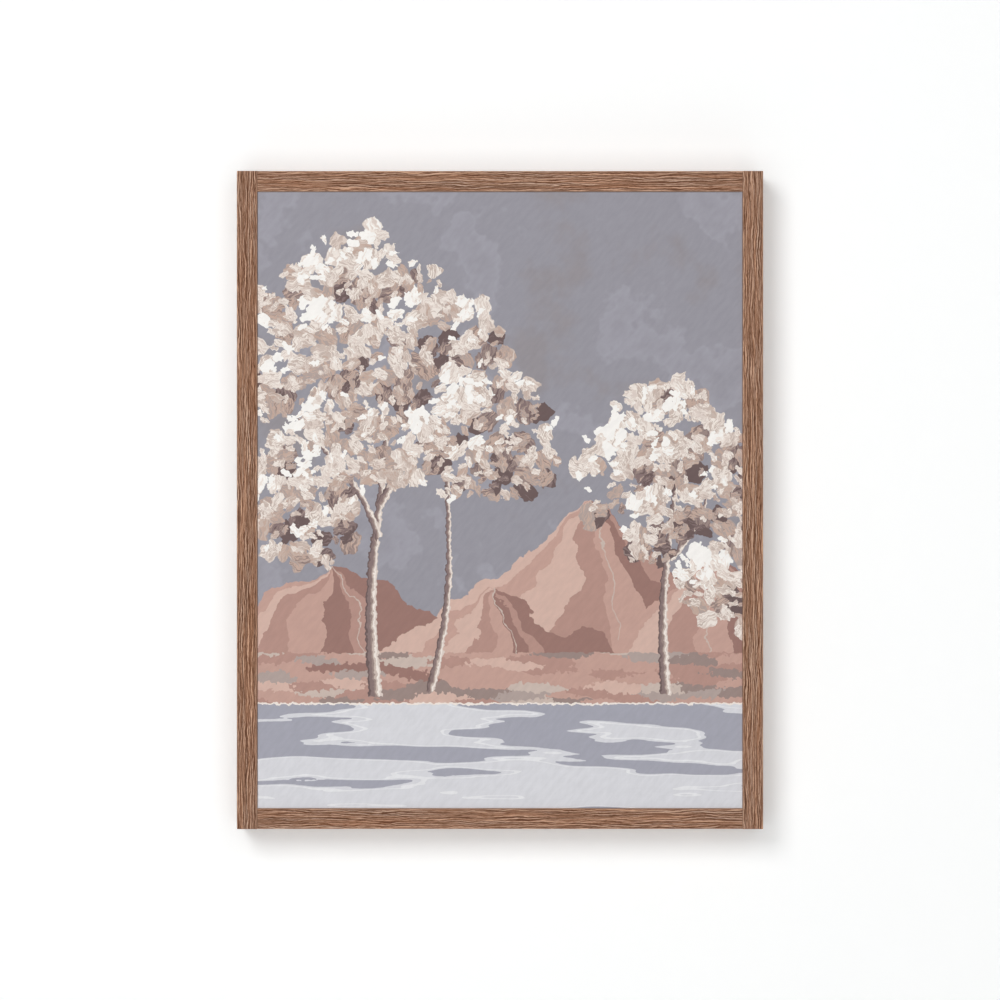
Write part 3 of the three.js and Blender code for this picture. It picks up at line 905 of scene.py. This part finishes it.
def brad_cutter():
    """The holes in the stiles' sides that the corner brads stand in, as one object."""
    cutter = bmesh.new()
    for name in BRADS:
        low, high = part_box(name)
        radius = (high.z - low.z) / 2 + BRAD_CLEARANCE
        middle = (low + high) / 2
        middle.x = math.copysign(FRAME_HALF_WIDTH, middle.x)
        place = Matrix.Translation(middle) @ Matrix.Rotation(QUARTER_TURN, 4, "Y")
        size = {"radius1": radius, "radius2": radius, "depth": BRAD_HOLE_DEPTH}
        bmesh.ops.create_cone(cutter, cap_ends=True, segments=24, matrix=place, **size)
    return solid("brad_holes", cutter)


class PICTURE_OT_strips(bpy.types.Operator):
    """Makes the two stiles and the two rails of the frame."""

    bl_idname = "picture.strips"
    bl_label = "Frame strips"

    def execute(self, context):
        sizes = context.scene.picture_sizes
        strips = (
            ("stile_right", FRAME_HALF_WIDTH, FRAME_HALF_HEIGHT),
            ("rail_bottom", FRAME_HALF_HEIGHT, RAIL_HALF_LENGTH),
            ("stile_left", FRAME_HALF_WIDTH, FRAME_HALF_HEIGHT),
            ("rail_top", FRAME_HALF_HEIGHT, RAIL_HALF_LENGTH),
        )
        cutter = brad_cutter()
        for turns, (node, outer, half_length) in enumerate(strips):
            mesh = strip_mesh(outer, half_length, sizes.seed + 17.3 * turns, sizes)
            turn = Matrix.Rotation(turns * QUARTER_TURN, 4, "Y")
            mesh.transform(Matrix.Translation((0, 0, MIDDLE.z)) @ turn)
            upright = node.startswith("stile")
            look = material(frame_wood, node, upright=upright, shift=(61.0 * turns, 23.0 * turns, 0.0))
            piece = solid(f"frame_{node}", mesh, [look], sharp=50)
            if upright:
                cut(piece, cutter)
            seat(piece, [node])
        bpy.data.objects.remove(cutter)
        dress_steel(BRADS)
        return {"FINISHED"}


# Canvas

CLOTH_STEP = 5 * MM
TURN_STEPS = 5
FOLD_SLANT = 4 * MM
FOLD_INSET = 0.1 * MM
FACE_MAP_HEIGHT = 0.98


def cloth_path(sizes):
    """The way round the outside to the flange's cut edge and back inside, as (inset, y) points."""
    rounding = sizes.face_rounding
    tight = sizes.cloth
    back = CANVAS_HIGH.y - tight
    path = []
    for a in quarter(TURN_STEPS, 1):
        path.append((rounding * (1 - math.sin(a)), FACE_FRONT + rounding * (1 - math.cos(a))))
    path += [(0.0, FACE_FRONT + (back - FACE_FRONT) * share) for share in (0.25, 0.5, 0.75)]
    path += [(tight * (1 - math.cos(a)), back - tight * (1 - math.sin(a))) for a in quarter(TURN_STEPS)]
    path += [(tight + (sizes.flange - tight) * share, back) for share in (0.33, 0.66, 1.0)]
    path += [(inset, CANVAS_HIGH.y - 2 * tight) for inset in (sizes.flange, tight)]
    path.append((tight, FACE_FRONT + rounding))
    path.append((rounding * 0.6 + tight * 0.4, FACE_FRONT + tight + 0.3 * rounding))
    return path


def face_hollow(x, z, sizes):
    """How far the stretched face lies back: slack in the middle, with faint pulls near the corners."""
    across = x / FACE_HALF_WIDTH
    up = z / FACE_HALF_HEIGHT
    dish = (1 - across**4) * (1 - up**4)
    pull = noise.noise(Vector((across * 2.2, up * 2.6, 0.7))) * 0.5 + 0.5
    return sizes.slack * dish * (0.45 + 0.55 * pull)


def cloth_mesh(sizes):
    """The canvas as one closed skin: face, sides and flange outside, and the same again inside."""
    rounding = sizes.face_rounding
    full_x = FACE_HALF_WIDTH + sizes.cloth_swell
    full_z = FACE_HALF_HEIGHT + sizes.cloth_swell
    half_x = full_x - rounding
    half_z = full_z - rounding
    columns = round(2 * half_x / CLOTH_STEP)
    rows = round(2 * half_z / CLOTH_STEP)
    mesh = bmesh.new()
    spots = [
        (-half_x + 2 * half_x * i / columns, -half_z + 2 * half_z * j / rows)
        for j in range(rows + 1)
        for i in range(columns + 1)
    ]

    def grid(inset):
        places = [(x, FACE_FRONT + inset + face_hollow(x, z, sizes), MIDDLE.z + z) for x, z in spots]
        return [mesh.verts.new(place) for place in places]

    def index(i, j):
        return j * (columns + 1) + i

    border = [index(i, 0) for i in range(columns)]
    border += [index(columns, j) for j in range(rows)]
    border += [index(i, rows) for i in range(columns, 0, -1)]
    border += [index(0, j) for j in range(rows, 0, -1)]

    def ring(inset, y):
        scale_x = (full_x - inset) / half_x
        scale_z = (full_z - inset) / half_z
        places = [(spots[k][0] * scale_x, y, MIDDLE.z + spots[k][1] * scale_z) for k in border]
        return [mesh.verts.new(place) for place in places]

    outside = grid(0.0)
    inside = grid(sizes.cloth)
    faces = {"print": [], "side": [], "back": []}
    for j in range(rows):
        for i in range(columns):
            corners = [index(i, j), index(i + 1, j), index(i + 1, j + 1), index(i, j + 1)]
            faces["print"].append(mesh.faces.new([outside[k] for k in corners]))
            faces["back"].append(mesh.faces.new([inside[k] for k in reversed(corners)]))
    previous = [outside[k] for k in border]
    for number, (inset, y) in enumerate(cloth_path(sizes)):
        made = ring(inset, y)
        faces["print" if number < TURN_STEPS else "side"] += join_rings(mesh, previous, made)
        previous = made
    faces["side"] += join_rings(mesh, previous, [inside[k] for k in border])
    bmesh.ops.recalc_face_normals(mesh, faces=mesh.faces)
    return mesh, faces


def corner_fold(mesh, across, up, sizes):
    """The doubled cloth at a corner of the flange: a tapering flap that is folded over the next side."""
    reach = sizes.fold_reach
    outline = [(0, 0), (-reach, 0), (FOLD_SLANT - reach, -sizes.flange), (-sizes.flange, -sizes.flange)]
    middle = Vector((sum(p[0] for p in outline), sum(p[1] for p in outline))) / len(outline)
    low = CANVAS_HIGH.y - sizes.cloth
    rings = []
    for lift, shrink in ((0.0, 0.0), (0.7, 0.0), (1.0, 0.35)):
        ring = []
        for point in outline:
            spot = Vector(point) + (middle - Vector(point)).normalized() * shrink * MM
            x = across * (FACE_HALF_WIDTH + spot.x - FOLD_INSET)
            z = MIDDLE.z + up * (FACE_HALF_HEIGHT + spot.y - FOLD_INSET)
            ring.append(mesh.verts.new((x, low + lift * sizes.cloth, z)))
        rings.append(ring)
    sides = [face for first, second in zip(rings, rings[1:]) for face in join_rings(mesh, first, second)]
    return sides + [mesh.faces.new(rings[0]), mesh.faces.new(rings[-1])]


def lay_out_cloth(mesh, faces):
    """A map for the bake that gives most of its room to the printed face."""
    layer = mesh.loops.layers.uv.new("OFBake")
    scale = FACE_MAP_HEIGHT / (2 * FACE_HALF_HEIGHT)
    spare = 2 * FACE_HALF_WIDTH * scale + 0.02
    room = 0.99 - spare
    for face in faces["print"]:
        for corner in face.loops:
            x, y, z = corner.vert.co
            grow = 1 + max(0.0, y - FACE_FRONT) * 0.1
            u = 0.005 + (x * grow + FACE_HALF_WIDTH) * scale
            corner[layer].uv = (u, 0.01 + ((z - MIDDLE.z) * grow + FACE_HALF_HEIGHT) * scale)
    for face in faces["back"]:
        for corner in face.loops:
            x, _, z = corner.vert.co
            u = spare + (x + FACE_HALF_WIDTH) / (2 * FACE_HALF_WIDTH) * room
            up = (z - MIDDLE.z + FACE_HALF_HEIGHT) / (2 * FACE_HALF_HEIGHT)
            corner[layer].uv = (u, 0.01 + up * room * 1.27)
    for face in faces["side"]:
        centre = face.calc_center_median() - Vector((0, 0, MIDDLE.z))
        sideways = abs(centre.x) / FACE_HALF_WIDTH > abs(centre.z) / FACE_HALF_HEIGHT
        column = 2 * sideways + ((centre.x if sideways else centre.z) > 0)
        for corner in face.loops:
            x, y, z = corner.vert.co
            z -= MIDDLE.z
            run = z / FACE_HALF_HEIGHT if sideways else x / FACE_HALF_WIDTH
            inset = FACE_HALF_WIDTH - abs(x) if sideways else FACE_HALF_HEIGHT - abs(z)
            width = (y - FACE_FRONT + inset) / (60 * MM)
            u = spare + (column + 0.1 + 0.8 * min(1.0, width)) / 4 * room
            corner[layer].uv = (u, 0.34 + (run + 1) / 2 * 0.64)


class PICTURE_OT_canvas(bpy.types.Operator):
    """Makes the stretched canvas with its print, its turned-over flange and its folded corners."""

    bl_idname = "picture.canvas"
    bl_label = "Canvas"

    def execute(self, context):
        sizes = context.scene.picture_sizes
        mesh, faces = cloth_mesh(sizes)
        for across in (-1, 1):
            for up in (-1, 1):
                faces["side"] += corner_fold(mesh, across, up, sizes)
        bmesh.ops.recalc_face_normals(mesh, faces=mesh.faces)
        for kind, number in (("print", 0), ("side", 1), ("back", 1)):
            for face in faces[kind]:
                face.material_index = number
        lay_out_cloth(mesh, faces)
        looks = [material(printed_canvas), material(bare_canvas)]
        piece = solid("canvas_cloth", mesh, looks, sharp=60)
        seat(piece, ["canvas"])
        return {"FINISHED"}


class PICTURE_OT_stretcher(bpy.types.Operator):
    """Finishes the four pine bars under the canvas and the nails across their mitres."""

    bl_idname = "picture.stretcher"
    bl_label = "Stretcher"

    def execute(self, context):
        sizes = context.scene.picture_sizes
        for i, name in enumerate(BARS):
            look = material(pine, name, upright=name in SIDES, shift=(137.0 * i, 41.0 * i, 0.0))
            dress(f"stretcher_{name}", look, sizes.bar_edge)
        dress_steel(f"v_nail_{corner}" for corner in CORNERS)
        return {"FINISHED"}


# Fastenings

STAPLE_BEND = 0.9 * MM
STAPLE_EDGE = 0.12 * MM
STAPLE_TILT = 2.5
STAPLE_ARRIS = 1.2
SCREW = {"shank": 1.4 * MM, "rise": 1.8 * MM, "tip": 2.5 * MM}
HANGER_NAIL = {"shank": 0.6 * MM, "rise": 0.7 * MM, "tip": 1.5 * MM}
DOME_STEPS = 7
HEAD_SIDES = 32
BUMPER_SIDES = 64
RECESS_LENGTH = 3.4 * MM
RECESS_DEPTH = 2.2 * MM
RECESS_WIDTH = 0.75 * MM
BUMPER_FOOT = 0.2 * MM
BUMPER_RIM = 1.3 * MM


def swept_staple(low, high, wire, width, tilt):
    """A staple with rounded shoulders, from its solid's corners. Its crown lies along its longer side."""
    size = high - low
    half = max(size.x, size.z) / 2
    bend = STAPLE_BEND
    outer = [(-half, low.y), (-half, high.y - bend)]
    outer += [(-half + bend * (1 - math.cos(a)), high.y - bend * (1 - math.sin(a))) for a in (0.4, 0.8, 1.2)]
    outer += [(-half + bend, high.y)]
    outer += [(-x, y) for x, y in reversed(outer)]
    mesh = bmesh.new()
    rings = []
    for k, point in enumerate(outer):
        way = (Vector(outer[min(len(outer) - 1, k + 1)]) - Vector(outer[max(0, k - 1)])).normalized()
        inward = Vector((way.y, -way.x)) * wire
        ring = []
        for depth, side in ((0, -1), (0, 1), (1, 1), (1, -1)):
            spot = Vector(point) + inward * depth
            ring.append(mesh.verts.new((spot.x, spot.y, side * width / 2)))
        rings.append(ring)
    for first, second in zip(rings, rings[1:]):
        join_rings(mesh, first, second)
    mesh.faces.new(rings[0])
    mesh.faces.new(rings[-1])
    bmesh.ops.recalc_face_normals(mesh, faces=mesh.faces)
    edges = [edge for edge in mesh.edges if edge.calc_face_angle(0) > STAPLE_ARRIS]
    bmesh.ops.bevel(mesh, geom=edges, offset=STAPLE_EDGE, segments=2, affect="EDGES")
    turn = 0 if size.x > size.z else QUARTER_TURN
    mesh.transform(over_middle(low, high) @ Matrix.Rotation(turn + tilt, 4, "Y"))
    return mesh


class PICTURE_OT_staples(bpy.types.Operator):
    """Makes the staples that hold the flange to the stretcher."""

    bl_idname = "picture.staples"
    bl_label = "Staples"

    def execute(self, context):
        sizes = context.scene.picture_sizes
        draw = random.Random(sizes.seed)
        names = sorted(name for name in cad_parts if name.startswith("staple_"))
        parts = []
        for name in names:
            tilt = math.radians(draw.uniform(-STAPLE_TILT, STAPLE_TILT))
            parts.append(swept_staple(*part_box(name), sizes.staple_wire, sizes.staple_width, tilt))
        seat_steel("staples", parts, 40, names)
        return {"FINISHED"}


def headed_mesh(low, high, shank, rise, tip):
    """A screw or nail without its recess: a pointed shank and a low domed head, towards the wall."""
    head = (high.x - low.x) / 2
    base = high.y - rise
    brim = 0.28 * rise
    profile = [(0.0, low.y), (0.35 * shank, low.y + tip / 2), (shank, low.y + tip), (shank, base)]
    profile += [(head - 0.3 * brim, base), (head, base + 0.3 * brim), (head, base + brim)]
    for a in quarter(DOME_STEPS, 1)[:-1]:
        profile.append((head * math.cos(a) ** 0.7, base + brim + (rise - brim) * math.sin(a)))
    return turned_mesh(profile + [(0.0, high.y)], HEAD_SIDES)


def screw_mesh(low, high, turn):
    """A pan-head screw with a cross recess."""
    body = solid("screw", headed_mesh(low, high, **SCREW))
    cutter = bmesh.new()
    for angle in (turn, turn + QUARTER_TURN):
        place = Matrix.Translation((0, high.y, 0)) @ Matrix.Rotation(angle, 4, "Y")
        place = place @ Matrix.Diagonal((RECESS_LENGTH, RECESS_DEPTH, RECESS_WIDTH, 1.0))
        bmesh.ops.create_cube(cutter, size=1.0, matrix=place)
    cross = solid("cross", cutter)
    cut(body, cross, crossed=True)
    made = bmesh.new()
    made.from_mesh(body.data)
    for used in (cross, body):
        bpy.data.objects.remove(used)
    made.transform(over_middle(low, high))
    return made


class PICTURE_OT_plates(bpy.types.Operator):
    """Finishes the plates that hold the stretcher in the frame, and makes their screws."""

    bl_idname = "picture.plates"
    bl_label = "Plates and screws"

    def execute(self, context):
        dress_steel(f"plate_{corner}" for corner in CORNERS)
        draw = random.Random(context.scene.picture_sizes.seed + 1)
        parts = [screw_mesh(*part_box(name), draw.uniform(0, QUARTER_TURN)) for name in SCREWS]
        seat_steel("plate_screws", parts, 35, SCREWS)
        return {"FINISHED"}


class PICTURE_OT_hanger(bpy.types.Operator):
    """Finishes the sawtooth hanger and makes its nails."""

    bl_idname = "picture.hanger"
    bl_label = "Sawtooth hanger"

    def execute(self, context):
        dress_steel(["hanger"])
        parts = []
        for name in HANGER_NAILS:
            low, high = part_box(name)
            parts.append(headed_mesh(low, high, **HANGER_NAIL))
            parts[-1].transform(over_middle(low, high))
        seat_steel("hanger_nails", parts, 35, HANGER_NAILS)
        return {"FINISHED"}


class PICTURE_OT_bumpers(bpy.types.Operator):
    """Makes the rubber bumpers at the bottom corners of the back."""

    bl_idname = "picture.bumpers"
    bl_label = "Bumpers"

    def execute(self, context):
        for side in SIDES:
            low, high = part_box(f"bumper_{side}")
            radius = (high.x - low.x) / 2
            half_rise = (high.y - low.y) / 2
            profile = [(0.0, low.y), (radius - BUMPER_FOOT, low.y), (radius, low.y + BUMPER_FOOT)]
            for a in quarter(8):
                rim = radius - BUMPER_RIM + BUMPER_RIM * math.cos(a)
                profile.append((rim, high.y - half_rise * (1 - math.sin(a))))
            mesh = turned_mesh(profile + [(0.0, high.y)], BUMPER_SIDES)
            mesh.transform(over_middle(low, high))
            piece = solid(f"bumper_pad_{side}", mesh, [material(black_rubber)], sharp=60)
            seat(piece, [f"bumper_{side}"])
        return {"FINISHED"}


# Stage

VIEW_WIDTH = 771.7 * MM
LENS = 120.0
SENSOR = 36.0
WALL_REACH = 3.2
FLOOR_DROP = 2.2
DOME_LIGHT = 0.1
WALL_GLOW = 0.145
FLOOR_GLOW = 0.6
# Square lights that face the picture, as (name, offset from the middle of its front, size, power).
LIGHTS = (
    ("soft_light", (-0.1, -3.2, 0.2), 3.6, 74.0),
    ("key_light", (-1.3, -3.2, 1.4), 1.4, 41.5),
    ("back_light", (0.9, 3.2, 1.6), 2.6, 55.0),
)


def plane(name, corners, look):
    mesh = bmesh.new()
    mesh.faces.new([mesh.verts.new(corner) for corner in corners])
    made = solid(name, mesh, [look])
    return made


def mottle(nodes):
    return nodes.noise(millimetres(nodes), scale=0.02, detail=3.0).fac


def wall_paint(nodes):
    """White paint, lit a little by itself. Only the room sees it, so the picture's back shows through it."""
    return {
        "Base Color": nodes.tones.wall,
        "Roughness": nodes.span(mottle(nodes), 0.3, 0.7, 0.85, 0.95),
        "Specular IOR Level": 0.0,
        "Emission Color": nodes.tones.wall,
        "Emission Strength": WALL_GLOW,
    }


def floor_paint(nodes):
    """Pale paint, which the camera sees a little lighter than its lights leave it."""
    return {
        "Base Color": nodes.tones.floor,
        "Roughness": nodes.span(mottle(nodes), 0.3, 0.7, 0.6, 0.75),
        "Emission Color": nodes.tones.floor,
        "Emission Strength": nodes.made("ShaderNodeLightPath").is_camera_ray * FLOOR_GLOW,
    }


def area_light(name, offset, size, power):
    data = bpy.data.lights.new(name, "AREA")
    data.size = size
    data.energy = power
    made = bpy.data.objects.new(name, data)
    made.location = Vector((0.0, FRAME_FRONT, MIDDLE.z)) + Vector(offset)
    made.rotation_euler = (-Vector(offset)).to_track_quat("-Z", "Y").to_euler()
    made.visible_camera = False
    bpy.context.scene.collection.objects.link(made)


def studio_world():
    """Soft light from all round, which the camera sees as plain white."""
    world = bpy.data.worlds.new("Studio")
    world.use_nodes = True
    world.node_tree.nodes.clear()
    nodes = Nodes(world.node_tree)
    strength = nodes.blend(nodes.made("ShaderNodeLightPath").is_camera_ray, DOME_LIGHT, 1.0)
    light = nodes.made("ShaderNodeBackground", {"Color": (1.0, 1.0, 1.0), "Strength": strength})
    nodes.add("ShaderNodeOutputWorld", {"Surface": light.background})
    return world


def view_camera():
    """A camera square on to the picture, which sees it as wide as the photograph's frame does."""
    data = bpy.data.cameras.new("camera")
    data.lens = LENS
    data.sensor_width = SENSOR
    camera = bpy.data.objects.new("camera", data)
    camera.location = (0.0, FRAME_FRONT - VIEW_WIDTH * LENS / SENSOR, MIDDLE.z)
    camera.rotation_euler = (QUARTER_TURN, 0.0, 0.0)
    bpy.context.scene.collection.objects.link(camera)
    return camera


class PICTURE_OT_stage(bpy.types.Operator):
    """Makes the wall, the floor, the lights and the camera."""

    bl_idname = "picture.stage"
    bl_label = "Stage"

    def execute(self, context):
        scene = context.scene
        reach = WALL_REACH
        ground = MIDDLE.z - FRAME_HALF_HEIGHT - FLOOR_DROP
        square = ((-1, -1), (1, -1), (1, 1), (-1, 1))
        upright = [(x * reach, WALL_Y, ground + (z + 1) * reach) for x, z in square]
        wall = plane("wall", upright, material(wall_paint, clear_behind=True))
        wall.visible_shadow = False
        plane("floor", [(x * reach, y * reach, ground) for x, y in square], material(floor_paint))
        for light in LIGHTS:
            area_light(*light)
        scene.world = studio_world()
        scene.view_settings.view_transform = "Standard"
        scene.camera = view_camera()
        return {"FINISHED"}


OPERATORS = (
    PICTURE_OT_strips,
    PICTURE_OT_canvas,
    PICTURE_OT_stretcher,
    PICTURE_OT_staples,
    PICTURE_OT_plates,
    PICTURE_OT_hanger,
    PICTURE_OT_bumpers,
    PICTURE_OT_stage,
)


class PICTURE_PT_panel(bpy.types.Panel):
    """Lists the sizes, the colours and the pieces."""

    bl_label = "Framed canvas print"
    bl_space_type = "VIEW_3D"
    bl_region_type = "UI"
    bl_category = "Picture"

    def draw(self, context):
        column = self.layout.column(align=True)
        for operator in OPERATORS:
            column.operator(operator.bl_idname)
        for group in (context.scene.picture_sizes, context.scene.picture_colours):
            box = self.layout.box()
            for name in group.__annotations__:
                box.prop(group, name)


CLASSES = (PictureSizes, PictureColours, *OPERATORS, PICTURE_PT_panel)


def register():
    for one in CLASSES:
        bpy.utils.register_class(one)
    bpy.types.Scene.picture_sizes = PointerProperty(type=PictureSizes)
    bpy.types.Scene.picture_colours = PointerProperty(type=PictureColours)


def unregister():
    del bpy.types.Scene.picture_colours
    del bpy.types.Scene.picture_sizes
    for one in reversed(CLASSES):
        bpy.utils.unregister_class(one)


def main():
    register()
    for operator in OPERATORS:
        group, name = operator.bl_idname.split(".")
        getattr(getattr(bpy.ops, group), name)()


if __name__ == "__main__":
    main()
